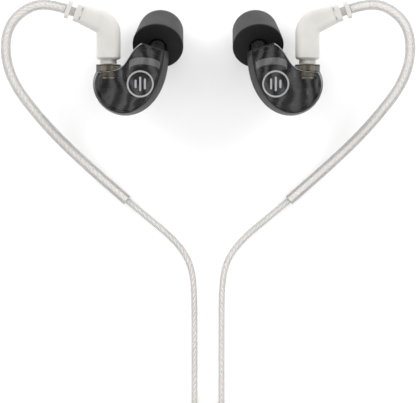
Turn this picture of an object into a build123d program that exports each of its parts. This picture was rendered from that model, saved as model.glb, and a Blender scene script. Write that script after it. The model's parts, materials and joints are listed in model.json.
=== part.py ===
from build123d import *
import os
from math import cos, pi, radians, sin, sqrt, tan

# In-ear monitors lying face up on a table. X runs from the left earpiece to the right one,
# Y from the coiled cable up to the earpieces, Z up from the table. Millimetres.
# The left half is modelled and every paired piece is mirrored across X = 0.

os.makedirs("parts", exist_ok=True)

# ---------------------------------------------------------------- driving dimensions
SOCKET_X = -24.8  # axis of the left earpiece's cable socket
MOUTH_Y = 9.35  # rim of the collar round that socket
AXIS_Z = 13.04  # height of the socket axis over the table, with the foam tips resting on it

SHELL_TOP = 5.4  # face of the shell over the socket axis
SHELL_RIM = 5.0  # where the face's bevel starts
SEAM = 3.4  # joint between faceplate and inner shell
GIRDLE = 0.3  # widest level of the shell
SHELL_BOTTOM = -5.5
WALL = 0.9
CAVITY_SCALE = 0.88  # cavity outline against shell outline

COLLAR_R = 3.08
COLLAR_DEPTH = 3.2
COLLAR_GAP = 0.05
SOCKET_BORE_R = 1.30
SOCKET_FLANGE_R = 1.85
SOCKET_SEAT_R = 1.9  # bore of the collar
SOCKET_BAND_R = 1.55
SOCKET_NECK_R = 1.42
SOCKET_LENGTH = 4.2
SOCKET_FLANGE_SPAN = (-0.2, -1.5)
SOCKET_BAND_SPAN = (-2.1, -3.1)
SOCKET_INSULATOR_SPAN = (-2.4, -4.4)
CONTACT_TUBE_R = 0.42
CONTACT_TAIL_R = 0.16
CONTACT_CUP_R = 0.32  # where the inner wire is soldered on

PLUG_R = 1.22  # barrel of the cable's coaxial plug
PLUG_REACH = 2.1  # how far it goes past the collar's rim
PLUG_ROOT = 4.0  # how far it goes back into the elbow
PLUG_BORE_R = 0.9
PIN_R = 0.20
PIN_BORE_R = 0.25
SNAP_MIDDLE = -1.2
SNAP_GROOVE_R = 1.02
SNAP_GROOVE_WIDTH = 0.48
SNAP_RING_R = 1.26
SNAP_RING_WIDTH = 0.36
SNAP_RING_THICKNESS = 0.19

NECK_R = 2.1
NECK_END = 0.15  # gap side of the elbow's neck
BARREL_END = 1.25
BARREL_LEAD = 0.45  # length of the taper at that end
BARREL_WIDTH = 6.0
BARREL_DEPTH = 5.6
BARREL_CORNER = 1.7
ARM_WIDTH = 4.7
ARM_DEPTH = 4.4
ARM_CORNER = 1.3
ARM_TILT = 19.5  # the arm rises this many degrees from the X axis
ELBOW_CORNER = 10.07  # where barrel axis and arm axis meet
ELBOW_BEND_R = 3.4
ARM_END = 7.0  # along the arm from that corner
SHANK = 2.2  # the strain relief goes this far into the arm
SHANK_R = 1.55
RELIEF_END = 11.25
RELIEF_RINGS = [(7.0, 1.75, 4.5), (10.1, 1.0, 4.45)]  # start along the arm, length, width
RELIEF_CORNER = 0.9
WAIST_SPAN = (8.75, 10.1)  # between the two rings
WAIST_R = 1.2
SLOT_WIDTH = 0.4
SLOT_LENGTH = 0.9

NOZZLE_DIR = Vector(0.10, 0.55, -0.83).normalized()
TIP_BASE = Vector(12.25, 4.65, -2.2)  # centre of the foam tip's flat base, from the collar's rim
NOZZLE_R = 1.85
NOZZLE_LIP_R = 2.0
NOZZLE_ROOT = -4.0  # along the nozzle from the tip's base
NOZZLE_END = 5.0
SOUND_BORE_R = 1.2
SCREEN_R = 1.55
SCREEN_DEPTH = 0.2
TIP_GAP = 0.5  # shell to foam tip
TIP_LENGTH = 10.8
TIP_R = 6.4  # at the flat base
TIP_SHOULDER_R = 5.6  # where the taper meets the rounded end
TIP_ROUND = 3.6
CORE_BORE_R = 2.05
CORE_R = 2.75
CORE_START = 0.3
CORE_END = 8.6
TIP_HOLE_R = 1.6

DRIVER_CENTRE = Vector(9.02, -0.45, 0.1)  # from the collar's rim, like the other inner parts
DRIVER_DIR = Vector(0.06, 0.95, -0.31).normalized()
DRIVER_R = 3.88
DRIVER_REACH = 0.9  # half the length of its wall
DRIVER_WALL = 0.3
MAGNET_R = 2.4
MAGNET_BORE_R = 0.5
MAGNET_BACK = -1.5
MAGNET_FRONT = -0.25
# The diaphragm's front as (reach, radius): dome, voice coil's root, surround.
DIAPHRAGM_FRONT = [(0.7, 0), (0.6, 0.9), (0.1, 1.9), (0.5, 2.8), (0.6, DRIVER_R - DRIVER_WALL)]
DIAPHRAGM_THICKNESS = 0.1
BOARD_CENTRE = (0.8, -4.75)
BOARD_LEVEL = 1.5
BOARD_LENGTH = 4.6
BOARD_WIDTH = 2.4
BOARD_THICKNESS = 0.5
WIRE_R = 0.18
WIRE_ROUTES = [
    [(3.2, -5.3, 1.75), (4.0, -5.3, 1.8), (4.9, -4.6, 1.7), (5.6, -3.2, 1.4), (5.9, -1.6, 1.2)],
    [(3.2, -4.3, 1.75), (3.8, -4.3, 1.8), (4.4, -3.8, 1.6), (4.9, -2.9, 1.1), (5.5, -1.8, 0.6)],
]

BADGE_CENTRE = (8.0, -5.0)
BADGE_R = 3.35
BADGE_LINE = 0.42
BADGE_THICKNESS = 0.12
BADGE_BARS = (2.1, 3.6, 2.7)  # lengths of the three bars inside the ring
BADGE_BAR_WIDTH = 0.5
BADGE_BAR_PITCH = 1.15

HOOK_R = 1.3
# The hook drops from the elbow to the table while it bends round the ear.
HOOK_ROUTE = [
    (-35.4, 23.17, 13.04),
    (-39.0, 24.3, 13.0),
    (-43.4, 24.2, 12.9),
    (-47.4, 21.8, 12.6),
    (-50.0, 18.2, 12.0),
    (-50.7, 13.2, 11.2),
    (-49.9, 8.2, 10.2),
    (-47.6, 3.2, 8.9),
    (-44.0, -1.6, 7.3),
    (-39.4, -7.0, 5.3),
    (-33.8, -12.6, 3.4),
    (-27.2, -18.6, 2.0),
    (-20.4, -24.5, 1.35),
]
BRANCH_D = 1.5
BRANCH_ROUTE = [
    (-20.4, -24.5, 1.35),
    (-14.9, -29.1, 1.1),
    (-8.8, -34.1, 0.9),
    (-4.8, -39.4, 1.0),
    (-3.45, -45.5, 1.4),
    (-3.4, -58.5, 1.4),
    (-3.4, -84.5, 1.4),
    (-3.7, -96.5, 1.4),
]
MAIN_D = 2.2
MAIN_ROUTE = [
    (0.0, -129.0, 8.5),
    (0.0, -134.2, 8.2),
    (-2.0, -139.0, 7.0),
    (-5.7, -142.7, 5.5),
    (-10.5, -144.7, 4.2),
    (-15.7, -144.7, 3.6),
]

SLIDER_TOP = -78.0
SLIDER_LENGTH = 7.5
SLIDER_WIDTH = 11.0
SLIDER_HEIGHT = 3.4
SLIDER_BORE_X = 3.4  # the two branch cables run side by side at plus and minus this
SLIDER_BORE_Z = 1.4
SLIDER_BORE_R = 1.05

BRANCH_COIL_X = -12.7
BRANCH_COIL_Y = -98.0
BRANCH_COIL_R = 9.0  # axis of the outermost turn
BRANCH_COIL_INNER_R = 6.15  # axis of the innermost turn
BRANCH_COIL_LIFT = 0.65  # the coil rests on its tie
BRANCH_TIE_WIDTH = 4.0
TIE_THICKNESS = 0.55

SPLITTER_TOP = -104.5
SPLITTER_LENGTH = 14.0
SPLITTER_WIDTH = 9.8
SPLITTER_HEIGHT = 5.2
SPLITTER_END_WIDTH = 4.6
SPLITTER_END_HEIGHT = 3.8

MAIN_COIL_X = 15.1
MAIN_COIL_Y = -128.0
MAIN_COIL_R = 15.1
MAIN_COIL_INNER_R = 9.1
MAIN_COIL_LAYERS = 4
MAIN_COIL_LIFT = 0.8
MAIN_TIE_WIDTH = 8.0

JACK = Vector(-15.7, -144.7, 3.6)  # where the boot starts; the plug points along -X
BOOT_LENGTH = 8.0
BOOT_NECK_R = 1.7
BOOT_R = 2.7
HOUSING_LENGTH = 13.8
HOUSING_R = 3.6
CONTACT_R = 1.75
CORE_PIN_R = 1.0
SLEEVE_END = 6.2
RING_START = 6.9
RING_END = 9.3
TIP_START = 10.0
PLUG_LENGTH = 14.0

EAR = Vector(SOCKET_X, MOUTH_Y, AXIS_Z)
BEND_ANGLE = 90 - ARM_TILT
BEND_SETBACK = ELBOW_BEND_R * tan(radians(BEND_ANGLE) / 2)
ARM_DIR = Vector(-cos(radians(ARM_TILT)), sin(radians(ARM_TILT)), 0)
ALONG_SOCKET = Plane(origin=EAR, x_dir=(1, 0, 0), z_dir=(0, 1, 0))
ALONG_ARM = Plane(origin=EAR + Vector(0, ELBOW_CORNER, 0), x_dir=(0, 0, 1), z_dir=ARM_DIR)
DRIVER = Plane(origin=EAR + DRIVER_CENTRE, x_dir=DRIVER_DIR.cross(Vector(0, 0, 1)), z_dir=DRIVER_DIR)
ALONG_JACK = Plane(origin=JACK, x_dir=(0, 0, 1), z_dir=(-1, 0, 0))
ALONG_HOUSING = ALONG_JACK.offset(BOOT_LENGTH)
ALONG_CONTACTS = ALONG_HOUSING.offset(HOUSING_LENGTH)
NOZZLE = Plane(origin=EAR + TIP_BASE, x_dir=Vector(0, 1, 0).cross(NOZZLE_DIR) * -1, z_dir=NOZZLE_DIR)


def ear_level(height):
    """The plane of the shell at a height over the socket axis."""
    return Plane(origin=EAR + Vector(0, 0, height))


def turn(frame, *corners, mode=Mode.ADD):
    """Revolves the outline of (distance, radius) corners about the z axis of a frame."""
    section = Plane(origin=frame.origin, x_dir=frame.x_dir, z_dir=frame.x_dir.cross(frame.z_dir))
    with BuildSketch(section) as outline:
        with BuildLine():
            Polyline(*[(radius, reach) for reach, radius in corners], close=True)
        make_face()
    revolve(outline.sketch, axis=Axis(frame.origin, frame.z_dir), mode=mode)


def turn_ring(frame, reaches, inner_r, outer_r, mode=Mode.ADD):
    """A plain ring or disc about the z axis of a frame, between two distances along it."""
    start, end = reaches
    turn(frame, (start, inner_r), (start, outer_r), (end, outer_r), (end, inner_r), mode=mode)


def finish(name, piece):
    """Labels one finished piece and writes it."""
    piece.part.label = name
    export_step(piece.part, f"parts/{name}.step")


def finish_pair(name, piece):
    """Writes a piece of the left half and its mirror image for the right half."""
    finish(f"left_{name}", piece)
    with BuildPart() as twin:
        mirror(piece.part, about=Plane.YZ)
    finish(f"right_{name}", twin)


def bend_radii(route):
    """The arc at each inner point of a route: as large as its two runs allow."""
    points = [Vector(*point) for point in route]
    radii = []
    for before, here, after in zip(points, points[1:], points[2:]):
        run_in = here - before
        run_out = after - here
        half_turn = radians(run_in.get_angle(run_out)) / 2
        radii.append(0.45 * min(run_in.length, run_out.length) / tan(half_turn))
    return radii


def lay_tube(name, route, radius):
    """Sweeps a round tube along straight runs joined by tangent arcs."""
    radii = bend_radii(route)
    with BuildLine() as path:
        FilletPolyline(*route, radius=radii)
    first_run = Vector(*route[1]) - Vector(*route[0])
    with BuildSketch(Plane(origin=route[0], z_dir=first_run)) as section:
        Circle(radius)
    sweep(section.sketch, path=path.line)
    length = sum(edge.length for edge in path.edges())
    print(f"{name}: {length:.1f} mm long, section x length {pi * radius**2 * length:.1f} mm3")
    print(f"  radii {' '.join(f'{r:.1f}' for r in radii)}")


def strap(centre, side, inner_r, outer_r, top, width):
    """A flat strap once round a coil's section, on its +X side (side 1) or -X side (side -1)."""
    inside = sqrt(inner_r**2 - (width / 2) ** 2) - 0.05
    outside = outer_r + 0.05
    across = Plane(origin=(centre[0], centre[1] + width / 2, 0), x_dir=(1, 0, 0), z_dir=(0, -1, 0))
    with BuildSketch(across) as loop:
        with Locations((side * (inside + outside) / 2, (top + TIE_THICKNESS) / 2)):
            RectangleRounded(outside - inside + 2 * TIE_THICKNESS, top + TIE_THICKNESS, 1.1)
            RectangleRounded(outside - inside, top - TIE_THICKNESS, 0.55, mode=Mode.SUBTRACT)
    extrude(loop.sketch, amount=width)


# ---------------------------------------------------------------- shell of an earpiece
# Two outlines in the plane of the shell, measured from the collar's rim: the girdle, where the
# shell is widest, and the rim of its face. Snout front, then the skirt down the outside and
# back up to the collar, then the throat between collar and snout.
GIRDLE_FRONT = [(8.4, 5.4), (15.0, 3.2)]
GIRDLE_SKIRT = [
    (14.7, -1.2), (13.0, -6.6), (9.1, -11.2), (4.4, -12.75), (-1.25, -10.6), (-3.8, -5.7), (-3.0, -1.6),
]
GIRDLE_THROAT = [(0.2, -1.0), (3.3, -0.4), (6.0, 3.2)]
RIM_FRONT = [(8.4, 5.2), (14.1, 3.3)]
RIM_SKIRT = [
    (13.4, -1.0), (11.8, -6.0), (8.4, -10.5), (4.2, -12.3), (-1.15, -10.3), (-3.62, -5.6), (-2.8, -2.1),
]
RIM_THROAT = [(0.2, -1.8), (2.8, -1.1), (6.0, 3.0)]
SCALE_CENTRE = (6.2, -4.2)

# Level, share of the rim's outline in the girdle's, and scale.
BELLY_LEVELS = [(GIRDLE, 0, 1.0), (-2.4, 0, 0.96), (-4.4, 0, 0.83), (SHELL_BOTTOM, 0, 0.60)]
UPPER_LEVELS = [(GIRDLE, 0, 1.0), (SHELL_RIM, 1, 1.0)]
BEVEL_LEVELS = [(SHELL_RIM, 1, 1.0), (SHELL_TOP, 1, 0.955)]
CAVITY_BELLY_LEVELS = [(GIRDLE, 0, 1.0), (-2.2, 0, 0.95), (-3.8, 0, 0.80), (SHELL_BOTTOM + WALL, 0, 0.55)]
CAVITY_UPPER_LEVELS = [(GIRDLE, 0, 1.0), (SHELL_TOP - WALL, 0.9, 1.0)]


def shell_point(girdle_point, rim_point, share, scale):
    """A point of the shell's outline between girdle and rim, scaled about the middle."""
    x = girdle_point[0] * (1 - share) + rim_point[0] * share
    y = girdle_point[1] * (1 - share) + rim_point[1] * share
    mid_x, mid_y = SCALE_CENTRE
    return (mid_x + (x - mid_x) * scale, mid_y + (y - mid_y) * scale)


def shell_section(level, share, scale):
    """The shell's outline at one level, as a face to loft."""
    front = [shell_point(g, r, share, scale) for g, r in zip(GIRDLE_FRONT, RIM_FRONT)]
    skirt = [shell_point(g, r, share, scale) for g, r in zip(GIRDLE_SKIRT, RIM_SKIRT)]
    throat = [shell_point(g, r, share, scale) for g, r in zip(GIRDLE_THROAT, RIM_THROAT)]
    with BuildSketch(ear_level(level)) as outline:
        with BuildLine():
            Line(*front)
            Spline(front[1], *skirt)
            Spline(skirt[-1], *throat, front[0])
        make_face()
    return outline.sketch


with BuildPart() as shell_solid:
    for levels, ruled in ((BELLY_LEVELS, False), (UPPER_LEVELS, True), (BEVEL_LEVELS, True)):
        loft([shell_section(level, share, scale) for level, share, scale in levels], ruled=ruled)

with BuildPart() as cavity:
    for levels, ruled in ((CAVITY_BELLY_LEVELS, False), (CAVITY_UPPER_LEVELS, True)):
        outlines = [shell_section(level, share, scale * CAVITY_SCALE) for level, share, scale in levels]
        loft(outlines, ruled=ruled)

with BuildPart() as inner_shell:
    add(shell_solid.part)
    add(cavity.part, mode=Mode.SUBTRACT)
    split(bisect_by=ear_level(SEAM), keep=Keep.BOTTOM)
    with BuildSketch(ALONG_SOCKET.offset(-COLLAR_DEPTH)):
        Circle(COLLAR_R)
    extrude(amount=COLLAR_DEPTH - COLLAR_GAP)
    turn_ring(ALONG_SOCKET, (-COLLAR_DEPTH, 0), 0, SOCKET_SEAT_R, mode=Mode.SUBTRACT)
    # The snout is cut off square to the nozzle, just short of the foam tip.
    with BuildSketch(NOZZLE.offset(-TIP_GAP)):
        Circle(2 * TIP_R)
    extrude(amount=TIP_LENGTH, mode=Mode.SUBTRACT)
    turn(
        NOZZLE,
        (NOZZLE_ROOT, 0),
        (NOZZLE_ROOT, NOZZLE_R),
        (NOZZLE_END - 1.2, NOZZLE_R),
        (NOZZLE_END - 1.0, NOZZLE_LIP_R),
        (NOZZLE_END - 0.3, NOZZLE_LIP_R),
        (NOZZLE_END, NOZZLE_R),
        (NOZZLE_END, 0),
    )
    turn(
        NOZZLE,
        (NOZZLE_ROOT - 0.1, 0),
        (NOZZLE_ROOT - 0.1, SOUND_BORE_R),
        (NOZZLE_END - SCREEN_DEPTH, SOUND_BORE_R),
        (NOZZLE_END - SCREEN_DEPTH, SCREEN_R),
        (NOZZLE_END + 0.1, SCREEN_R),
        (NOZZLE_END + 0.1, 0),
        mode=Mode.SUBTRACT,
    )
finish_pair("inner_shell", inner_shell)

with BuildPart() as faceplate:
    add(shell_solid.part)
    add(cavity.part, mode=Mode.SUBTRACT)
    split(bisect_by=ear_level(SEAM), keep=Keep.TOP)
finish_pair("faceplate", faceplate)

# ---------------------------------------------------------------- badge on the faceplate
with BuildPart() as badge:
    with BuildSketch(ear_level(SHELL_TOP)):
        with Locations(BADGE_CENTRE):
            Circle(BADGE_R)
            Circle(BADGE_R - BADGE_LINE, mode=Mode.SUBTRACT)
            for step, height in enumerate(BADGE_BARS):
                with Locations(((step - 1) * BADGE_BAR_PITCH, 0)):
                    SlotOverall(height, BADGE_BAR_WIDTH, rotation=90)
    extrude(amount=BADGE_THICKNESS)
finish_pair("badge", badge)

# ---------------------------------------------------------------- driver, board and wires
with BuildPart() as driver_frame:
    turn(
        DRIVER,
        (-DRIVER_REACH, MAGNET_R + 0.05),
        (-DRIVER_REACH, DRIVER_R - DRIVER_WALL),
        (DRIVER_WALL - DRIVER_REACH, DRIVER_R),
        (DRIVER_REACH, DRIVER_R),
        (DRIVER_REACH, DRIVER_R - DRIVER_WALL),
        (DRIVER_WALL - DRIVER_REACH, DRIVER_R - DRIVER_WALL),
        (DRIVER_WALL - DRIVER_REACH, MAGNET_R + 0.05),
    )
finish_pair("driver_frame", driver_frame)

with BuildPart() as driver_magnet:
    turn(
        DRIVER,
        (MAGNET_BACK, MAGNET_BORE_R),
        (MAGNET_BACK, MAGNET_R - 0.2),
        (MAGNET_BACK + 0.2, MAGNET_R),
        (MAGNET_FRONT, MAGNET_R),
        (MAGNET_FRONT, MAGNET_BORE_R),
    )
finish_pair("driver_magnet", driver_magnet)

with BuildPart() as driver_diaphragm:
    diaphragm_back = [(reach - DIAPHRAGM_THICKNESS, radius) for reach, radius in DIAPHRAGM_FRONT]
    turn(DRIVER, *DIAPHRAGM_FRONT, *reversed(diaphragm_back))
finish_pair("driver_diaphragm", driver_diaphragm)

with BuildPart() as crossover_board:
    with BuildSketch(ear_level(BOARD_LEVEL)):
        with Locations(BOARD_CENTRE):
            RectangleRounded(BOARD_LENGTH, BOARD_WIDTH, 0.3)
            with Locations((-BOARD_LENGTH / 2 + 0.6, 0), (BOARD_LENGTH / 2 - 0.6, 0)):
                Circle(0.25, mode=Mode.SUBTRACT)
    extrude(amount=BOARD_THICKNESS)
    # Two filter components on the board.
    with BuildSketch(ear_level(BOARD_LEVEL + BOARD_THICKNESS)):
        with Locations(BOARD_CENTRE):
            with Locations((-0.9, 0.3)):
                Rectangle(1.0, 0.6)
            with Locations((0.9, -0.2)):
                Rectangle(0.6, 1.1)
    extrude(amount=0.45)
finish_pair("crossover_board", crossover_board)

with BuildPart() as driver_wires:
    for wire_route in WIRE_ROUTES:
        lay_tube("driver wire", [tuple(EAR + Vector(*point)) for point in wire_route], WIRE_R)
finish_pair("driver_wires", driver_wires)

# ---------------------------------------------------------------- cable socket in the shell
with BuildPart() as socket_barrel:
    turn(
        ALONG_SOCKET,
        (SOCKET_FLANGE_SPAN[0], SOCKET_BORE_R),
        (SOCKET_FLANGE_SPAN[0], SOCKET_FLANGE_R),
        (SOCKET_FLANGE_SPAN[1], SOCKET_FLANGE_R),
        (SOCKET_FLANGE_SPAN[1], SOCKET_NECK_R),
        (SOCKET_BAND_SPAN[0], SOCKET_NECK_R),
        (SOCKET_BAND_SPAN[0], SOCKET_BAND_R),
        (SOCKET_BAND_SPAN[1], SOCKET_BAND_R),
        (SOCKET_BAND_SPAN[1], SOCKET_NECK_R),
        (-SOCKET_LENGTH, SOCKET_NECK_R),
        (-SOCKET_LENGTH, SOCKET_BORE_R),
    )
finish_pair("socket_barrel", socket_barrel)

with BuildPart() as socket_insulator:
    turn_ring(ALONG_SOCKET, SOCKET_INSULATOR_SPAN, CONTACT_TUBE_R, SOCKET_BORE_R)
finish_pair("socket_insulator", socket_insulator)

with BuildPart() as socket_contact:
    turn(
        ALONG_SOCKET,
        (-1.6, PIN_BORE_R),
        (-1.6, CONTACT_TUBE_R),
        (-4.8, CONTACT_TUBE_R),
        (-4.8, CONTACT_TAIL_R),
        (-6.6, CONTACT_TAIL_R),
        (-6.8, CONTACT_CUP_R),
        (-7.4, CONTACT_CUP_R),
        (-7.6, CONTACT_TAIL_R),
        (-7.6, 0),
        (-2.6, 0),
        (-2.6, PIN_BORE_R),
    )
finish_pair("socket_contact", socket_contact)

with BuildPart() as nozzle_screen:
    turn_ring(NOZZLE, (NOZZLE_END - SCREEN_DEPTH, NOZZLE_END), 0, SCREEN_R)
finish_pair("nozzle_screen", nozzle_screen)

# ---------------------------------------------------------------- foam tip on its core
with BuildPart() as tip_core:
    turn(
        NOZZLE,
        (CORE_START, CORE_BORE_R),
        (CORE_START, CORE_R),
        (CORE_END, CORE_R),
        (CORE_END, TIP_HOLE_R),
        (NOZZLE_END + 0.5, TIP_HOLE_R),
        (NOZZLE_END + 0.5, CORE_BORE_R),
    )
finish_pair("tip_core", tip_core)

with BuildPart() as tip_foam:
    turn(
        NOZZLE,
        (0, CORE_R),
        (0, TIP_R - 0.3),
        (0.3, TIP_R),
        (TIP_LENGTH, TIP_SHOULDER_R),
        (TIP_LENGTH, TIP_HOLE_R),
        (CORE_END, TIP_HOLE_R),
        (CORE_END, CORE_R),
    )
    end_rim = tip_foam.edges().filter_by(GeomType.CIRCLE).sort_by(SortBy.RADIUS)[-3:]
    fillet(end_rim.sort_by(Axis(NOZZLE.origin, NOZZLE_DIR))[-1], radius=TIP_ROUND)
finish_pair("tip_foam", tip_foam)

# ---------------------------------------------------------------- coaxial plug on the cable
with BuildPart() as plug_barrel:
    turn(
        ALONG_SOCKET,
        (PLUG_ROOT, PLUG_BORE_R),
        (PLUG_ROOT, PLUG_R),
        (SNAP_MIDDLE + SNAP_GROOVE_WIDTH / 2, PLUG_R),
        (SNAP_MIDDLE + SNAP_GROOVE_WIDTH / 2, SNAP_GROOVE_R),
        (SNAP_MIDDLE - SNAP_GROOVE_WIDTH / 2, SNAP_GROOVE_R),
        (SNAP_MIDDLE - SNAP_GROOVE_WIDTH / 2, PLUG_R),
        (-PLUG_REACH + 0.15, PLUG_R),
        (-PLUG_REACH, PLUG_R - 0.15),
        (-PLUG_REACH, PLUG_BORE_R),
    )
finish_pair("plug_barrel", plug_barrel)

with BuildPart() as plug_insulator:
    turn_ring(ALONG_SOCKET, (SNAP_MIDDLE, PLUG_ROOT), PIN_R, PLUG_BORE_R)
finish_pair("plug_insulator", plug_insulator)

with BuildPart() as plug_pin:
    turn(
        ALONG_SOCKET,
        (PLUG_ROOT, 0),
        (PLUG_ROOT, PIN_R),
        (-PLUG_REACH, PIN_R),
        (-PLUG_REACH - 0.15, 0.08),
        (-PLUG_REACH - 0.15, 0),
    )
finish_pair("plug_pin", plug_pin)

# A split spring ring, which stays on the plug and turns with the socket.
with BuildPart() as snap_ring:
    ring_span = (SNAP_MIDDLE - SNAP_RING_WIDTH / 2, SNAP_MIDDLE + SNAP_RING_WIDTH / 2)
    turn_ring(ALONG_SOCKET, ring_span, SNAP_RING_R - SNAP_RING_THICKNESS, SNAP_RING_R)
    with Locations(EAR + Vector(SNAP_RING_R, SNAP_MIDDLE, 0)):
        Box(0.8, 1, 0.35, mode=Mode.SUBTRACT)
finish_pair("snap_ring", snap_ring)

# ---------------------------------------------------------------- elbow and strain relief
with BuildPart() as elbow:
    turn_ring(ALONG_SOCKET, (NECK_END, BARREL_END), 0, NECK_R)
    with BuildSketch(ALONG_SOCKET.offset(BARREL_END)):
        RectangleRounded(BARREL_WIDTH - 0.8, BARREL_DEPTH - 0.8, BARREL_CORNER - 0.3)
    with BuildSketch(ALONG_SOCKET.offset(BARREL_END + BARREL_LEAD)):
        RectangleRounded(BARREL_WIDTH, BARREL_DEPTH, BARREL_CORNER)
    loft()
    with BuildSketch(ALONG_SOCKET.offset(BARREL_END + BARREL_LEAD)):
        RectangleRounded(BARREL_WIDTH, BARREL_DEPTH, BARREL_CORNER)
    extrude(amount=ELBOW_CORNER - BEND_SETBACK - BARREL_END - BARREL_LEAD)
    with BuildSketch(ALONG_SOCKET.offset(ELBOW_CORNER - BEND_SETBACK)) as barrel_end:
        RectangleRounded(BARREL_WIDTH, BARREL_DEPTH, BARREL_CORNER)
    with BuildLine(ear_level(0)) as bend:
        JernArc((0, ELBOW_CORNER - BEND_SETBACK), (0, 1), ELBOW_BEND_R, BEND_ANGLE)
    sweep(barrel_end.sketch, path=bend.line)
    with BuildSketch(ALONG_ARM.offset(BEND_SETBACK)) as arm_root:
        RectangleRounded(BARREL_DEPTH, BARREL_WIDTH, BARREL_CORNER)
    with BuildSketch(ALONG_ARM.offset(ARM_END)) as arm_end:
        RectangleRounded(ARM_DEPTH, ARM_WIDTH, ARM_CORNER)
    loft([arm_root.sketch, arm_end.sketch])
    turn_ring(ALONG_SOCKET, (NECK_END, PLUG_ROOT), 0, PLUG_R, mode=Mode.SUBTRACT)
    turn_ring(ALONG_ARM, (ARM_END - SHANK, ARM_END), 0, SHANK_R, mode=Mode.SUBTRACT)
finish_pair("elbow", elbow)

with BuildPart() as strain_relief:
    with BuildSketch(ALONG_ARM.offset(ARM_END - SHANK)):
        Circle(SHANK_R)
    extrude(amount=RELIEF_END + SHANK - ARM_END)
    for start, length, width in RELIEF_RINGS:
        with BuildSketch(ALONG_ARM.offset(start)):
            RectangleRounded(width - 0.2, width, RELIEF_CORNER)
        extrude(amount=length)
    turn_ring(ALONG_ARM, WAIST_SPAN, WAIST_R, SHANK_R + 0.1, mode=Mode.SUBTRACT)
    # Four short slots between elbow and first ring.
    with Locations(ALONG_ARM.offset(ARM_END + SLOT_WIDTH / 2)):
        with Locations(*[(side * 2.25, across, 0) for side in (-1, 1) for across in (-1.2, 1.2)]):
            Box(0.7, SLOT_LENGTH, SLOT_WIDTH + 0.01, mode=Mode.SUBTRACT)
finish_pair("strain_relief", strain_relief)

# ---------------------------------------------------------------- ear hook and branch cable
with BuildPart() as ear_hook:
    lay_tube("ear hook", HOOK_ROUTE, HOOK_R)
finish_pair("ear_hook", ear_hook)

with BuildPart() as branch_cable:
    lay_tube("branch cable", BRANCH_ROUTE, BRANCH_D / 2)
finish_pair("branch_cable", branch_cable)

branch_coil_height = 2 * BRANCH_D
with BuildPart() as branch_coil:
    with BuildSketch(Plane.XY.offset(BRANCH_COIL_LIFT)):
        with Locations((BRANCH_COIL_X, BRANCH_COIL_Y)):
            Circle(BRANCH_COIL_R + BRANCH_D / 2)
            Circle(BRANCH_COIL_INNER_R - BRANCH_D / 2, mode=Mode.SUBTRACT)
    extrude(amount=branch_coil_height)
    fillet(branch_coil.edges(), radius=0.3 * BRANCH_D)
    # The cable leaves the upper layer straight for the splitter.
    leaving_x = BRANCH_COIL_X + BRANCH_COIL_R - 0.05
    leaving_z = BRANCH_COIL_LIFT + 1.45 * BRANCH_D
    with BuildSketch(Plane(origin=(leaving_x, BRANCH_COIL_Y, leaving_z), z_dir=(0, -1, 0))):
        Circle(BRANCH_D / 2)
    extrude(amount=BRANCH_COIL_Y - SPLITTER_TOP)
finish_pair("branch_coil", branch_coil)

with BuildPart() as branch_tie:
    strap(
        (BRANCH_COIL_X, BRANCH_COIL_Y),
        -1,
        BRANCH_COIL_INNER_R - BRANCH_D / 2,
        BRANCH_COIL_R + BRANCH_D / 2,
        BRANCH_COIL_LIFT + branch_coil_height + 0.05,
        BRANCH_TIE_WIDTH,
    )
finish_pair("branch_tie", branch_tie)

# ---------------------------------------------------------------- slider and splitter
with BuildPart() as chin_slider:
    with BuildSketch(Plane(origin=(0, SLIDER_TOP, SLIDER_HEIGHT / 2), x_dir=(1, 0, 0), z_dir=(0, -1, 0))):
        RectangleRounded(SLIDER_WIDTH, SLIDER_HEIGHT, 1.4)
        with Locations(*[(side * SLIDER_BORE_X, SLIDER_BORE_Z - SLIDER_HEIGHT / 2) for side in (-1, 1)]):
            Circle(SLIDER_BORE_R, mode=Mode.SUBTRACT)
    extrude(amount=SLIDER_LENGTH)
finish("chin_slider", chin_slider)

splitter_inlet = Plane(origin=(0, SPLITTER_TOP, SPLITTER_HEIGHT / 2), x_dir=(1, 0, 0), z_dir=(0, -1, 0))
splitter_outlet = Plane(
    origin=(0, SPLITTER_TOP - SPLITTER_LENGTH, SPLITTER_END_HEIGHT / 2), x_dir=(1, 0, 0), z_dir=(0, -1, 0)
)
with BuildPart() as splitter:
    with BuildSketch(splitter_inlet):
        RectangleRounded(SPLITTER_WIDTH, SPLITTER_HEIGHT, 1.8)
    extrude(amount=4)
    with BuildSketch(splitter_inlet.offset(4)):
        RectangleRounded(SPLITTER_WIDTH, SPLITTER_HEIGHT, 1.8)
    with BuildSketch(splitter_outlet):
        RectangleRounded(SPLITTER_END_WIDTH, SPLITTER_END_HEIGHT, 1.6)
    loft()
finish("splitter", splitter)

# ---------------------------------------------------------------- main cable and its coil
main_coil_height = MAIN_COIL_LAYERS * MAIN_D
with BuildPart() as main_coil:
    with BuildSketch(Plane.XY.offset(MAIN_COIL_LIFT)):
        with Locations((MAIN_COIL_X, MAIN_COIL_Y)):
            Circle(MAIN_COIL_R + MAIN_D / 2)
            Circle(MAIN_COIL_INNER_R - MAIN_D / 2, mode=Mode.SUBTRACT)
    extrude(amount=main_coil_height)
    fillet(main_coil.edges(), radius=0.45 * MAIN_D)
    # The cable comes to the lowest layer straight from the splitter.
    arriving = Vector(0.05, SPLITTER_TOP - SPLITTER_LENGTH, MAIN_COIL_LIFT + 0.55 * MAIN_D)
    with BuildSketch(Plane(origin=arriving, z_dir=(0, -1, 0))):
        Circle(MAIN_D / 2)
    extrude(amount=SPLITTER_TOP - SPLITTER_LENGTH - MAIN_COIL_Y)
finish("main_coil", main_coil)

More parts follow.
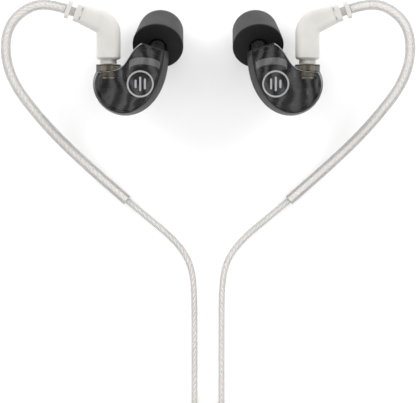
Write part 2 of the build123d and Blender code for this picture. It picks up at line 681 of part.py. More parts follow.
with BuildPart() as coil_tie:
    strap(
        (MAIN_COIL_X, MAIN_COIL_Y),
        1,
        MAIN_COIL_INNER_R - MAIN_D / 2,
        MAIN_COIL_R + MAIN_D / 2,
        MAIN_COIL_LIFT + main_coil_height + 0.05,
        MAIN_TIE_WIDTH,
    )
finish("coil_tie", coil_tie)

with BuildPart() as main_cable:
    lay_tube("main cable", MAIN_ROUTE, MAIN_D / 2)
finish("main_cable", main_cable)

# ---------------------------------------------------------------- stereo plug, lying along -X
with BuildPart() as jack_boot:
    turn(
        ALONG_JACK,
        (0, 0),
        (0, BOOT_NECK_R - 0.2),
        (0.4, BOOT_NECK_R),
        (BOOT_LENGTH - 1, BOOT_R - 0.1),
        (BOOT_LENGTH, BOOT_R),
        (BOOT_LENGTH, 0),
    )
finish("jack_boot", jack_boot)

with BuildPart() as jack_housing:
    turn(
        ALONG_HOUSING,
        (0, 0),
        (0, HOUSING_R - 0.5),
        (0.5, HOUSING_R),
        (HOUSING_LENGTH - 1.2, HOUSING_R),
        (HOUSING_LENGTH - 0.6, HOUSING_R - 0.7),
        (HOUSING_LENGTH, HOUSING_R - 0.8),
        (HOUSING_LENGTH, 0),
    )
finish("jack_housing", jack_housing)

with BuildPart() as jack_insulator:
    turn(
        ALONG_CONTACTS,
        (0, 0),
        (0, CORE_PIN_R),
        (SLEEVE_END, CORE_PIN_R),
        (SLEEVE_END, CONTACT_R),
        (RING_START, CONTACT_R),
        (RING_START, CORE_PIN_R),
        (RING_END, CORE_PIN_R),
        (RING_END, CONTACT_R),
        (TIP_START, CONTACT_R),
        (TIP_START, 0),
    )
finish("jack_insulator", jack_insulator)

with BuildPart() as jack_sleeve:
    turn_ring(ALONG_CONTACTS, (0, SLEEVE_END), CORE_PIN_R, CONTACT_R)
finish("jack_sleeve", jack_sleeve)

with BuildPart() as jack_ring:
    turn_ring(ALONG_CONTACTS, (RING_START, RING_END), CORE_PIN_R, CONTACT_R)
finish("jack_ring", jack_ring)

with BuildPart() as jack_tip:
    turn(
        ALONG_CONTACTS,
        (TIP_START, 0),
        (TIP_START, CONTACT_R),
        (TIP_START + 0.5, CONTACT_R),
        (TIP_START + 0.9, 1.2),
        (TIP_START + 2.0, 1.65),
        (TIP_START + 2.5, 1.6),
        (PLUG_LENGTH - 0.5, 0.9),
        (PLUG_LENGTH, 0.5),
        (PLUG_LENGTH, 0),
    )
finish("jack_tip", jack_tip)
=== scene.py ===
import json
import math

import bpy
import numpy as np
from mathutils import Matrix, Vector, noise


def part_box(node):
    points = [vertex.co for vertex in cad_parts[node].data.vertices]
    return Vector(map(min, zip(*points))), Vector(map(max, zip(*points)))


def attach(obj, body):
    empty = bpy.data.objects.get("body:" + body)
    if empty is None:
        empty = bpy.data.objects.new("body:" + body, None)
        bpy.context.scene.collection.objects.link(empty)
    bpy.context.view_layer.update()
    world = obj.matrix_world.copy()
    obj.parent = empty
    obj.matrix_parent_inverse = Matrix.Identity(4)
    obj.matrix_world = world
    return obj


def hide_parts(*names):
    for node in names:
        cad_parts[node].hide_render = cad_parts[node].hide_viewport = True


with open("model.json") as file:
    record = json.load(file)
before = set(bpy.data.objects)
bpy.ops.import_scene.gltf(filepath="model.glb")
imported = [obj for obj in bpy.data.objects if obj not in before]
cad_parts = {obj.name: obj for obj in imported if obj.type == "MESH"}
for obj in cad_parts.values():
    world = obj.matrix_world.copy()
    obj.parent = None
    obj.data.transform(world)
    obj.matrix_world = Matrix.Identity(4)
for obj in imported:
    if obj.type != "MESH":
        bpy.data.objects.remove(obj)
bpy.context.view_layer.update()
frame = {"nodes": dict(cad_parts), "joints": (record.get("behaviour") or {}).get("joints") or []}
nodes = frame["nodes"]
root = "root"
MM = 0.001

# The left half is given and mirrored: each side's factor on X.
SIDES = {"left": 1, "right": -1}

# ---------------------------------------------------------------- routes, millimetres
HOOK_ROUTE = [
    (-35.4, 23.17, 13.04), (-39.0, 24.3, 13.0), (-43.4, 24.2, 12.9), (-47.4, 21.8, 12.6),
    (-50.0, 18.2, 12.0), (-50.7, 13.2, 11.2), (-49.9, 8.2, 10.2), (-47.6, 3.2, 8.9),
    (-44.0, -1.6, 7.3), (-39.4, -7.0, 5.3), (-33.8, -12.6, 3.4), (-27.2, -18.6, 2.0),
    (-20.4, -24.5, 1.35),
]
BRANCH_ROUTE = [
    (-20.4, -24.5, 1.35), (-14.9, -29.1, 1.1), (-8.8, -34.1, 0.9), (-4.8, -39.4, 1.0),
    (-3.45, -45.5, 1.4), (-3.4, -58.5, 1.4), (-3.4, -84.5, 1.4), (-3.7, -96.5, 1.4),
]
# A coil: centre, angle of its first point, way round, and (turn, radius, height) along it.
BRANCH_COIL = {
    "centre": (-12.7, -98.0), "start": 0.0, "way": -1,
    "layers": [(0, 9.0, 1.4), (1.9, 6.15, 1.4), (2.1, 6.15, 2.9), (4.0, 9.0, 2.9)],
}
BRANCH_END = [(-3.7, -101.0, 2.9), (-3.7, -104.9, 2.9)]
MAIN_START = [(0.0, -118.2, 1.9), (0.0, -123.0, 1.9)]
MAIN_COIL = {
    "centre": (15.1, -128.0), "start": 180.0, "way": 1,
    "layers": [
        (0, 15.1, 1.9), (2.6, 9.1, 1.9), (2.85, 9.1, 4.1), (5.4, 15.1, 4.1),
        (5.65, 15.1, 6.3), (8.2, 9.1, 6.3), (8.45, 9.1, 8.5), (11.0, 15.1, 8.5),
    ],
}
MAIN_ROUTE = [
    (0.0, -129.0, 8.5), (0.0, -134.2, 8.2), (-2.0, -139.0, 7.0), (-5.7, -142.7, 5.5),
    (-10.5, -144.7, 4.2), (-15.7, -144.7, 3.6), (-16.2, -144.7, 3.6),
]
TURN_POINTS = 16  # control points in each turn of a coil

HOOK_OUTER_R = 1.3
HOOK_BORE_R = 0.82
BRANCH_D = 1.5
MAIN_D = 2.2
STRANDS = 4
BRANCH_PITCH = 5.8  # the length of one whole twist of the strands
MAIN_PITCH = 8.4
JACKET_SHARE = 0.15  # the jacket's two walls, of the cord's diameter
CORE_GAP = 0.01  # between the strands and the jacket's bore

# ---------------------------------------------------------------- camera
VIEW_WIDTH = 0.104  # what the picture's width covers at the height of the earpieces
VIEW_HEIGHT_Z = 0.010
CAMERA_DISTANCE = 1.0
CAMERA_Y = -0.0248
SENSOR_WIDTH = 36
camera_data = bpy.data.cameras.new("camera")
camera_data.sensor_width = SENSOR_WIDTH
camera_data.lens = SENSOR_WIDTH * CAMERA_DISTANCE / VIEW_WIDTH
camera_data.clip_start = 0.1
camera_data.clip_end = 20
camera = bpy.data.objects.new("camera", camera_data)
camera.location = (0, CAMERA_Y, VIEW_HEIGHT_Z + CAMERA_DISTANCE)
bpy.context.scene.collection.objects.link(camera)
bpy.context.scene.camera = camera


# ---------------------------------------------------------------- mesh helpers
def mirrored(points, factor):
    """Points of the left half, for the side with that factor on X."""
    return [(x * factor, y, z) for x, y, z in points]


def coil_points(coil):
    """The control points of a coil's turns."""
    turns, radii, heights = zip(*coil["layers"])
    made = []
    for i in range(round(turns[-1] * TURN_POINTS) + 1):
        turn = i / TURN_POINTS
        # The spline cuts inside its control polygon, so that goes round the turn.
        radius = float(np.interp(turn, turns, radii)) / math.cos(math.pi / TURN_POINTS)
        angle = math.radians(coil["start"]) + coil["way"] * turn * 2 * math.pi
        x = coil["centre"][0] + radius * math.cos(angle)
        y = coil["centre"][1] + radius * math.sin(angle)
        made.append((x, y, float(np.interp(turn, turns, heights))))
    return made


def arc_length(line):
    """How far along a line each of its points is."""
    return np.concatenate([[0], np.cumsum(np.linalg.norm(np.diff(line, axis=0), axis=1))])


def spline_line(points, step):
    """Points of the NURBS spline through a route, in metres, thinned to about step apart."""
    curve = bpy.data.curves.new("route", "CURVE")
    curve.dimensions = "3D"
    curve.resolution_u = 96
    spline = curve.splines.new("NURBS")
    spline.points.add(len(points) - 1)
    for control, point in zip(spline.points, points):
        control.co = (*[c * MM for c in point], 1)
    spline.order_u = 3
    spline.use_endpoint_u = True
    holder = bpy.data.objects.new("route", curve)
    mesh = bpy.data.meshes.new_from_object(holder)
    line = np.array([v.co for v in mesh.vertices], float)
    bpy.data.meshes.remove(mesh)
    bpy.data.objects.remove(holder)
    bpy.data.curves.remove(curve)
    along = arc_length(line)
    wanted = np.arange(0, along[-1], step)
    kept = np.unique(np.append(np.searchsorted(along, wanted), len(line) - 1))
    return line[kept]


def unit(vectors):
    return vectors / np.linalg.norm(vectors, axis=1)[:, None]


def frames_along(line):
    """Two unturning normals at each point of a line."""
    tangents = unit(np.gradient(line, axis=0))
    normal = np.cross(tangents[0], (0.0, 0.0, 1.0))
    normals = []
    for tangent in tangents:
        normal = normal - tangent * (normal @ tangent)
        normal = normal / np.linalg.norm(normal)
        normals.append(normal)
    normals = np.array(normals)
    return normals, np.cross(tangents, normals)


def link_mesh(name, verts, faces, uvs=None):
    """A smooth mesh object from points and faces."""
    mesh = bpy.data.meshes.new(name)
    mesh.from_pydata(np.asarray(verts).tolist(), [], faces)
    if uvs is not None:
        layer = mesh.uv_layers.new(name="UVMap")
        layer.data.foreach_set("uv", np.asarray(uvs, np.float32).ravel())
    mesh.validate()
    mesh.shade_smooth()
    piece = bpy.data.objects.new(name, mesh)
    bpy.context.scene.collection.objects.link(piece)
    return piece


def ring_faces(rings, sides, start=0):
    """Quads between neighbouring rings of points, each ring closed on itself."""
    i, j = np.meshgrid(np.arange(rings - 1), np.arange(sides), indexing="ij")
    k = (j + 1) % sides
    quads = np.stack([i * sides + j, i * sides + k, (i + 1) * sides + k, (i + 1) * sides + j], -1)
    return quads.reshape(-1, 4) + start


def rope(name, line, diameter, pitch, sides=8):
    """Twisted strands round a line, with one whole twist in each pitch, in metres.

    U is the part of the way round a strand, and V is millimetres along the line.
    """
    strand_r = diameter / 2 / (1 + math.sqrt(2))
    offset = diameter / 2 - strand_r
    along = arc_length(line)
    normals, binormals = frames_along(line)
    around = np.arange(sides) * 2 * math.pi / sides
    verts, faces, uvs = [], [], []
    for strand in range(STRANDS):
        angle = 2 * math.pi * (along / pitch + strand / STRANDS)
        radial = np.cos(angle)[:, None] * normals + np.sin(angle)[:, None] * binormals
        centres = line + offset * radial
        tangents = unit(np.gradient(centres, axis=0))
        out = unit(radial - tangents * (radial * tangents).sum(1)[:, None])
        side = np.cross(tangents, out)
        rings = centres[:, None] + strand_r * (
            np.cos(around)[None, :, None] * out[:, None] + np.sin(around)[None, :, None] * side[:, None]
        )
        start = strand * len(line) * sides
        verts.append(rings.reshape(-1, 3))
        faces += ring_faces(len(line), sides, start).tolist()
        i, j = np.meshgrid(np.arange(len(line) - 1), np.arange(sides), indexing="ij")
        near, far = along[i] / MM, along[i + 1] / MM
        low, high = j / sides, (j + 1) / sides
        uvs.append(np.stack([low, near, high, near, high, far, low, far], -1).reshape(-1, 2))
        first = list(range(start, start + sides))
        last = [start + (len(line) - 1) * sides + n for n in range(sides)]
        faces += [first[::-1], last]
        uvs.append(np.tile((0.5, along[0] / MM), (sides, 1)))
        uvs.append(np.tile((0.5, along[-1] / MM), (sides, 1)))
    return link_mesh(name, np.concatenate(verts), faces, np.concatenate(uvs))


def pipe(name, line, outer_r, inner_r, sides=32):
    """A hollow tube along a line, cut square at both ends."""
    normals, binormals = frames_along(line)
    around = np.arange(sides) * 2 * math.pi / sides
    ring = (np.cos(around)[None, :, None] * normals[:, None]
            + np.sin(around)[None, :, None] * binormals[:, None])
    outer = (line[:, None] + outer_r * ring).reshape(-1, 3)
    inner = (line[:, None] + inner_r * ring).reshape(-1, 3)
    count = len(line) * sides
    faces = ring_faces(len(line), sides).tolist()
    faces += ring_faces(len(line), sides, count)[:, ::-1].tolist()
    for ring_start, flip in ((0, False), ((len(line) - 1) * sides, True)):
        for n in range(sides):
            m = (n + 1) % sides
            quad = [ring_start + n, ring_start + count + n, ring_start + count + m, ring_start + m]
            faces.append(quad[::-1] if flip else quad)
    piece = link_mesh(name, np.concatenate([outer, inner]), faces)
    # The bore takes the second material.
    wall_faces = (len(line) - 1) * sides
    indices = np.zeros(len(piece.data.polygons), np.int32)
    indices[wall_faces:2 * wall_faces] = 1
    piece.data.polygons.foreach_set("material_index", indices)
    return piece


def jacketed(name, line, diameter, pitch):
    """A cord's clear jacket, and the twisted strands inside it as a piece that goes with it."""
    bore = diameter * (1 - JACKET_SHARE) / 2
    jacket = pipe(f"{name}_cord", line, diameter / 2, bore, sides=16)
    core = rope(f"{name}_strands", line, 2 * bore - CORE_GAP * MM, pitch)
    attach(jacket, root)
    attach(core, root)
    return jacket, core


def arc(centre, radius, start, end, count):
    """Points of (reach, radius) on a circle's arc, degrees from the axis direction."""
    angles = np.radians(np.linspace(start, end, count))
    return [(centre[0] + radius * math.cos(a), centre[1] + radius * math.sin(a)) for a in angles]


# ---------------------------------------------------------------- hook-and-loop ties, millimetres
TAPE_THICKNESS = 0.5
TAPE_CORNER_R = 1.0
TAPE_EDGE = 0.12  # the chamfer along the tape's edges
TAPE_STEP = 0.2
TAPE_CLIMB = 1.5  # the length over which the loose end climbs onto the start
TAPE_LIFT = 0.01  # off the table
LAP_CLEARANCE = 1.02
BRANCH_LAP = 3.0
MAIN_LAP = 6.0


def tape(name, node, overlap):
    """A flat strap once round a coil, its loose end lying over its start."""
    low, high = (np.array(c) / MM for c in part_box(node))
    half_w = (high[0] - low[0]) / 2 - TAPE_THICKNESS / 2
    half_h = (high[2] - low[2]) / 2 - TAPE_THICKNESS / 2
    middle = (low + high) / 2
    middle[2] += TAPE_LIFT
    corners = ((1, -1, -90), (1, 1, 0), (-1, 1, 90), (-1, -1, 180))
    loop = [(0.0, -half_h)]
    for side_x, side_z, start in corners:
        centre = (side_x * (half_w - TAPE_CORNER_R), side_z * (half_h - TAPE_CORNER_R))
        loop += arc(centre, TAPE_CORNER_R, start, start + 90, 9)
    loop = np.array(loop + [loop[0]])
    along = arc_length(loop)
    total = along[-1] + overlap
    at = np.arange(0, total, TAPE_STEP)
    shift = along[np.argmax(loop[:, 1])] - overlap / 2  # the lap lies on top

    def on_loop(step):
        place = (at + shift + step) % along[-1]
        return np.stack([np.interp(place, along, loop[:, k]) for k in range(2)], 1)

    line = on_loop(0.0)
    heading = unit(on_loop(0.1) - on_loop(-0.1))
    outward = np.stack([heading[:, 1], -heading[:, 0]], 1)
    rise = np.clip((at - (total - overlap - TAPE_CLIMB)) / TAPE_CLIMB, 0, 1)
    rise = (rise * rise * (3 - 2 * rise))[:, None] * TAPE_THICKNESS * LAP_CLEARANCE
    half, edge = TAPE_THICKNESS / 2, TAPE_EDGE
    half_width = (high[1] - low[1]) / 2
    section = [
        (-half, -half_width + edge), (-half + edge, -half_width),
        (half - edge, -half_width), (half, -half_width + edge),
        (half, half_width - edge), (half - edge, half_width),
        (-half + edge, half_width), (-half, half_width - edge),
    ]
    rings = []
    for off, y in section:
        point = line + outward * (off + rise)
        across = np.full(len(point), middle[1] + y)
        rings.append(np.stack([point[:, 0] + middle[0], across, point[:, 1] + middle[2]], 1))
    verts = np.stack(rings, 1).reshape(-1, 3)
    faces = ring_faces(len(line), len(section)).tolist()
    end = (len(line) - 1) * len(section)
    faces += [list(range(len(section)))[::-1], [end + n for n in range(len(section))]]
    piece = link_mesh(name, verts * MM, faces)
    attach(piece, root)
    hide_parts(node)
    return piece


tapes = {side: tape(f"{side}_branch_tape", f"{side}_branch_tie", BRANCH_LAP) for side in SIDES}
tapes["main"] = tape("coil_tape", "coil_tie", MAIN_LAP)

# ---------------------------------------------------------------- cords
BRANCH_STEP = 0.35 * MM  # between the points taken from a spline
MAIN_STEP = 0.55 * MM
branch_cords = {}
strands = {}
hook_cores = {}
hook_tubes = {}
for side, factor in SIDES.items():
    twist = factor * BRANCH_PITCH * MM  # the sides twist opposite ways
    hook_line = spline_line(mirrored(HOOK_ROUTE, factor), BRANCH_STEP)
    hook_tubes[side] = pipe(f"{side}_hook_tube", hook_line, HOOK_OUTER_R * MM, HOOK_BORE_R * MM)
    hook_cores[side] = rope(f"{side}_hook_core", hook_line, BRANCH_D * MM, twist)
    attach(hook_tubes[side], root)
    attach(hook_cores[side], root)
    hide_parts(f"{side}_ear_hook")

    route = mirrored(BRANCH_ROUTE + coil_points(BRANCH_COIL) + BRANCH_END, factor)
    line = spline_line(route, BRANCH_STEP)
    cord, strands[side] = jacketed(f"{side}_branch", line, BRANCH_D * MM, twist)
    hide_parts(f"{side}_branch_cable", f"{side}_branch_coil")
    branch_cords[side] = cord

main_line = spline_line(MAIN_START + coil_points(MAIN_COIL) + MAIN_ROUTE, MAIN_STEP)
main_cord, strands["main"] = jacketed("main", main_line, MAIN_D * MM, MAIN_PITCH * MM)
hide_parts("main_cable", "main_coil")

# ---------------------------------------------------------------- foam tips, millimetres
TIP_BASE = (-12.55, 14.0, 10.84)  # centre of the left tip's flat base
TIP_LENGTH = 10.8
TIP_R = 6.4
TIP_SHOULDER_R = 5.6
TIP_ROUND = 3.6
TIP_EDGE_R = 0.35
TIP_HOLE_R = 1.6
BASE_HOLE_R = 2.07  # a lip of foam closes over the core's end
BASE_LIP = 0.28  # how thick that lip is
CORE_R = 2.75
CORE_END = 8.6
TIP_SEGMENTS = 192
TIP_SPACING = 0.17  # between the rings of points down the foam
FOAM_NOISE = ((3.1, 0.035), (7.0, 0.02))  # the surface's unevenness: (scale, depth)
SWELL_NOISE = (0.25, 0.05)
FOAM_LOWEST = 0.02


def tip_profile():
    """The foam's outline as (reach, radius), evenly spaced, from the base's hole round to it again."""
    slope = math.degrees(math.atan2(TIP_R - TIP_SHOULDER_R, TIP_LENGTH))
    dome_centre = (TIP_LENGTH - TIP_ROUND, TIP_SHOULDER_R - TIP_ROUND + 0.05)
    dome = arc(dome_centre, TIP_ROUND, 90 - slope, 0, 24)
    rim = arc((TIP_LENGTH - TIP_EDGE_R, TIP_HOLE_R + TIP_EDGE_R), TIP_EDGE_R, 0, -90, 6)
    skirt = arc((TIP_EDGE_R, TIP_R - TIP_EDGE_R), TIP_EDGE_R, 180, 90 - slope, 8)
    line = np.array([
        (BASE_LIP, BASE_HOLE_R), (0.1, BASE_HOLE_R + 0.04), (0.02, BASE_HOLE_R + 0.15),
        *skirt, *dome, *rim,
        (CORE_END, TIP_HOLE_R), (CORE_END, CORE_R), (BASE_LIP, CORE_R), (BASE_LIP, BASE_HOLE_R),
    ])
    along = arc_length(line)
    at = np.arange(0, along[-1], TIP_SPACING)
    return np.stack([np.interp(at, along, line[:, k]) for k in range(2)], 1)


def foam_tip(side, factor):
    """A slow-recovery foam tip: a turned form with an open-cell surface."""
    joint = next(j for j in frame["joints"] if j["name"] == f"{side}_tip_pull")
    axis = Vector(joint["axis"]).normalized()
    base = Vector(mirrored([TIP_BASE], factor)[0])
    across = axis.orthogonal().normalized()
    up = axis.cross(across)
    profile = tip_profile()
    verts, reaches = [], []
    for reach, radius in profile:
        for n in range(TIP_SEGMENTS):
            angle = 2 * math.pi * n / TIP_SEGMENTS
            out = across * math.cos(angle) + up * math.sin(angle)
            point = base + axis * reach + out * radius
            cell = sum(noise.noise(point * scale) * depth for scale, depth in FOAM_NOISE)
            swell = noise.noise(point * SWELL_NOISE[0]) * SWELL_NOISE[1]
            verts.append(point + (out + axis * (reach / TIP_LENGTH - 0.5)) * (cell + swell))
            reaches.append(reach)
    verts = np.array(verts)
    verts[:, 2] = np.maximum(verts[:, 2], FOAM_LOWEST)  # it rests on the table
    faces = ring_faces(len(profile), TIP_SEGMENTS)
    last = (len(profile) - 1) * TIP_SEGMENTS
    n = np.arange(TIP_SEGMENTS)
    m = (n + 1) % TIP_SEGMENTS
    closing = np.stack([last + n, last + m, m, n], 1)
    faces = np.concatenate([faces, closing])
    if factor > 0:  # so that every face looks outwards on both sides
        faces = faces[:, ::-1]
    piece = link_mesh(f"{side}_foam", verts * MM, faces.tolist())
    attribute = piece.data.attributes.new("reach", "FLOAT", "POINT")
    attribute.data.foreach_set("value", np.array(reaches, np.float32))
    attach(piece, f"{side}_tip")
    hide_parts(f"{side}_tip_foam")
    return piece


foams = [foam_tip(side, factor) for side, factor in SIDES.items()]


# ---------------------------------------------------------------- materials
class Finish:
    """A material and the short calls that build its nodes."""

    def __init__(self, name):
        self.material = bpy.data.materials.new(name)
        self.material.use_nodes = True
        self.tree = self.material.node_tree
        self.tree.nodes.clear()
        self.output = self.tree.nodes.new("ShaderNodeOutputMaterial")
        self.place = self.node("TexCoord").outputs["Object"]

    def node(self, kind, inputs=None, **settings):
        made = self.tree.nodes.new("ShaderNode" + kind)
        for key, value in settings.items():
            setattr(made, key, value)
        for key, value in (inputs or {}).items():
            if isinstance(value, bpy.types.NodeSocket):
                self.tree.links.new(value, made.inputs[key])
            else:
                made.inputs[key].default_value = value
        return made

    def noise(self, scale, detail=3.0, place=None, **inputs):
        values = {"Vector": place or self.place, "Scale": scale, "Detail": detail, **inputs}
        return self.node("TexNoise", values).outputs["Fac"]

    def cells(self, scale, feature="F1"):
        values = {"Vector": self.place, "Scale": scale}
        return self.node("TexVoronoi", values, feature=feature).outputs["Distance"]

    def stretched(self, *factors):
        """Coordinates scaled differently along X, Y and Z."""
        return self.node("Mapping", {"Vector": self.place, "Scale": factors}).outputs[0]

    def span(self, value, low, high, from_low=0.3, from_high=0.7):
        """The value from one range taken to another, held at its ends."""
        values = {"Value": value, "From Min": from_low, "From Max": from_high,
                  "To Min": low, "To Max": high}
        return self.node("MapRange", values).outputs["Result"]

    def ramp(self, value, dark, light, low=0.3, high=0.7):
        node = self.node("ValToRGB", {"Fac": value})
        for element, place, colour in zip(node.color_ramp.elements, (low, high), (dark, light)):
            element.position = place
            element.color = (*colour, 1)
        return node.outputs["Color"]

    def mix(self, factor, a, b):
        node = self.node("Mix", data_type="RGBA")
        for index, value in ((0, factor), (6, a), (7, b)):
            if isinstance(value, bpy.types.NodeSocket):
                self.tree.links.new(value, node.inputs[index])
            else:
                node.inputs[index].default_value = value if index == 0 else (*value, 1)
        return node.outputs[2]

    def bump(self, height, depth, strength=1.0, normal=None):
        """depth is the height's full scale, in millimetres."""
        values = {"Height": height, "Distance": depth * MM, "Strength": strength}
        if normal is not None:
            values["Normal"] = normal
        return self.node("Bump", values).outputs["Normal"]

    def dot(self, place, axis):
        return self.node("VectorMath", {0: place, 1: axis}, operation="DOT_PRODUCT").outputs["Value"]

    def maths(self, operation, a, b=0.0):
        return self.node("Math", {0: a, 1: b}, operation=operation).outputs[0]

    def times(self, a, b):
        return self.maths("MULTIPLY", a, b)

    def most(self, a, b):
        return self.maths("MAXIMUM", a, b)

    def band(self, value, rise, fall):
        """1 from the end of rise to the start of fall, and 0 outside them both."""
        return self.times(self.span(value, 0, 1, *rise), self.span(value, 1, 0, *fall))

    def shader(self, **inputs):
        values = {key.replace("_", " "): value for key, value in inputs.items()}
        return self.node("BsdfPrincipled", values).outputs[0]

    def clear(self, grey=1.0):
        return self.node("BsdfTransparent", {"Color": (grey, grey, grey, 1)}).outputs[0]

    def blend(self, factor, a, b):
        node = self.node("MixShader", {"Fac": factor})
        self.tree.links.new(a, node.inputs[1])
        self.tree.links.new(b, node.inputs[2])
        return node.outputs[0]

    def done(self, surface):
        self.tree.links.new(surface, self.output.inputs["Surface"])
        return self.material


def moulded(name, dark, light, rough, grain=5200, depth=0.004, patch=260, **inputs):
    """Moulded or machined stuff: two close shades in soft patches, fine grain, uneven gloss."""
    f = Finish(name)
    colour = f.ramp(f.noise(patch, 4), dark, light)
    gloss = f.span(f.noise(patch * 3.1, 5), rough[0], rough[1])
    normal = f.bump(f.noise(grain, 3), depth)
    return f.done(f.shader(Base_Color=colour, Roughness=gloss, Normal=normal, **inputs))


def brushed(name, dark, light, rough, lines, depth=0.003, **inputs):
    """Turned or drawn metal, its marks running round the part."""
    f = Finish(name)
    marks = f.noise(1.0, 4, place=f.stretched(*lines))
    colour = f.ramp(marks, dark, light)
    gloss = f.span(f.noise(700, 4), rough[0], rough[1])
    normal = f.bump(marks, depth)
    return f.done(f.shader(Base_Color=colour, Roughness=gloss, Metallic=1.0, Normal=normal, **inputs))


# Where the earpiece's features are, from part.py; X is the distance from the mirror plane.
SOCKET_X = 24.8 * MM
SOCKET_Z = 13.04 * MM
SOCKET_BORE_R = 2.0 * MM
COLLAR_RIM_Y = 9.30 * MM
COLLAR_FOOT_Y = COLLAR_RIM_Y - 3.3 * MM
COLLAR_INNER_X = 21.2 * MM
SEAM_Z = 16.44 * MM
FACE_RIM_Z = 18.04 * MM
FACE_TOP_Z = 18.44 * MM
NOZZLE_AXIS = Vector((-0.0999, 0.5496, -0.8294))
SNOUT_CUT = NOZZLE_AXIS.dot(Vector((12.55, 14.0, 10.84))) * MM - 0.44 * MM
DRIVER_AXIS = Vector((-0.06, 0.95, -0.31)).normalized()
DRIVER_CENTRE = Vector((15.78, 8.9, 13.14)) * MM
BLACK_BACK = (-0.9 * MM, -0.75 * MM)  # from the driver's centre, where its wall takes over

# How much of what is behind it each part of the smoky plastic lets through.
SIDE_SHARE = 0.16
FACE_SHARE = 0.71
COLLAR_SHARE = 0.40
BORE_SHARE = 0.85
# What is left of that on the bevel, and where the plastic is black or painted black as shade.
BEVEL_LEFT = 0.25
BLACK_LEFT = 0.02


def smoke(name, dark, light):
    """Smoky clear plastic: a dark gloss surface that lets part of what is behind it through."""
    f = Finish(name)
    warp = f.noise(150, 2, Distortion=2.5)
    swirl = f.node("TexWave", {"Vector": f.place, "Scale": 95, "Distortion": 9.0, "Detail": 3.0,
                               "Detail Scale": 1.2, "Phase Offset": warp}).outputs["Fac"]
    place = f.node("SeparateXYZ", {"Vector": f.place}).outputs
    normal = f.node("SeparateXYZ", {"Vector": f.node("NewGeometry").outputs["True Normal"]}).outputs
    mirror = f.maths("SIGN", place["X"])
    beyond = f.times(place["X"], mirror)  # the distance from the mirror plane

    # It is clearest over the face and round the socket, and nearly black down its sides.
    upward = f.times(f.span(normal["Z"], 0, 1, 0.80, 0.95),
                     f.span(place["Z"], 0, 1, SEAM_Z + 0.05 * MM, SEAM_Z + 0.1 * MM))
    plain = f.ramp(f.noise(420, 4), (0.011, 0.011, 0.0115), (0.024, 0.024, 0.0245))
    colour = f.mix(upward, plain, f.ramp(swirl, dark, light, 0.15, 0.95))
    collar = f.times(f.span(beyond, 0, 1, COLLAR_INNER_X, COLLAR_INNER_X + 0.4 * MM),
                     f.span(place["Y"], 0, 1, COLLAR_FOOT_Y, COLLAR_FOOT_Y + 0.4 * MM))
    across = f.node("CombineXYZ", {"X": f.maths("SUBTRACT", beyond, SOCKET_X), "Y": 0.0,
                                   "Z": f.maths("SUBTRACT", place["Z"], SOCKET_Z)}).outputs[0]
    from_socket = f.node("VectorMath", {0: across}, operation="LENGTH").outputs["Value"]
    bore = f.times(collar, f.span(from_socket, 1, 0, SOCKET_BORE_R - 0.05 * MM,
                                  SOCKET_BORE_R + 0.05 * MM))
    share = f.most(f.span(upward, SIDE_SHARE, FACE_SHARE, 0, 1),
                   f.span(collar, 0, COLLAR_SHARE, 0, 1))
    share = f.most(share, f.span(bore, 0, BORE_SHARE, 0, 1))

    # The bevel round the face gets a painted highlight, strongest on the side of the throat, and painted
    # shade where it faces away from the lamps.
    bevel = f.band(place["Z"], (FACE_RIM_Z, FACE_RIM_Z + 0.05 * MM),
                   (FACE_TOP_Z - 0.06 * MM, FACE_TOP_Z - 0.01 * MM))
    outward = f.times(normal["X"], mirror)
    throatward = f.maths("ADD", f.times(outward, 0.9), f.times(normal["Y"], 0.35))
    highlight_share = f.times(f.span(throatward, 0, 1, 0.12, 0.40),
                       f.span(normal["Y"], 0.22, 1.0, -0.25, 0.20))
    painted_highlight = f.mix(highlight_share, (0.012, 0.012, 0.012), (0.25, 0.25, 0.255))
    colour = f.mix(bevel, colour, painted_highlight)
    share = f.times(share, f.span(bevel, 1.0, BEVEL_LEFT, 0, 1))

    # The cemented seam and the collar's rim are black, and the nozzle from the snout's cut onwards is
    # painted black as shade, where it lies in shadow under the snout and the foam.
    seam = f.band(place["Z"], (SEAM_Z - 0.06 * MM, SEAM_Z - 0.02 * MM),
                  (SEAM_Z + 0.02 * MM, SEAM_Z + 0.06 * MM))
    rim = f.times(collar, f.span(place["Y"], 0, 1, COLLAR_RIM_Y - 0.25 * MM, COLLAR_RIM_Y - 0.15 * MM))
    spot = f.node("CombineXYZ", {"X": beyond, "Y": place["Y"], "Z": place["Z"]}).outputs[0]
    shaded_nozzle = f.span(f.dot(spot, NOZZLE_AXIS), 0, 1, SNOUT_CUT, SNOUT_CUT + 0.04 * MM)
    black = f.most(f.most(seam, rim), shaded_nozzle)
    colour = f.mix(black, colour, (0.004, 0.004, 0.004))
    share = f.times(share, f.span(black, 1.0, BLACK_LEFT, 0, 1))

    # The face is glossy, the sides and the bevel are satin, and both are lightly scuffed.
    scuffs = f.bump(f.noise(1.0, 2, place=f.stretched(340, 120, 340)), 0.0016)
    wear = f.noise(420, 5)
    glossy = f.shader(Base_Color=colour, Roughness=f.span(wear, 0.05, 0.12), Normal=scuffs, IOR=1.48,
                      Coat_Weight=0.15, Coat_Roughness=0.03)
    satin = f.shader(Base_Color=colour, Roughness=f.span(wear, 0.42, 0.55), Normal=scuffs,
                     Specular_IOR_Level=0.15)
    satin_share = f.most(f.span(normal["Z"], 0.85, 0.0, 0.5, 0.9), f.most(shaded_nozzle, bevel))
    return f.done(f.blend(share, f.blend(satin_share, glossy, satin), f.clear(0.96)))


def frosted(name, dark, light, **inputs):
    """Milky frosted plastic, its gloss uneven."""
    f = Finish(name)
    colour = f.ramp(f.noise(170, 4), dark, light)
    gloss = f.span(f.noise(900, 5), 0.28, 0.42)
    normal = f.bump(f.noise(4200, 3), 0.003)
    return f.done(f.shader(Base_Color=colour, Roughness=gloss, Normal=normal, **inputs))


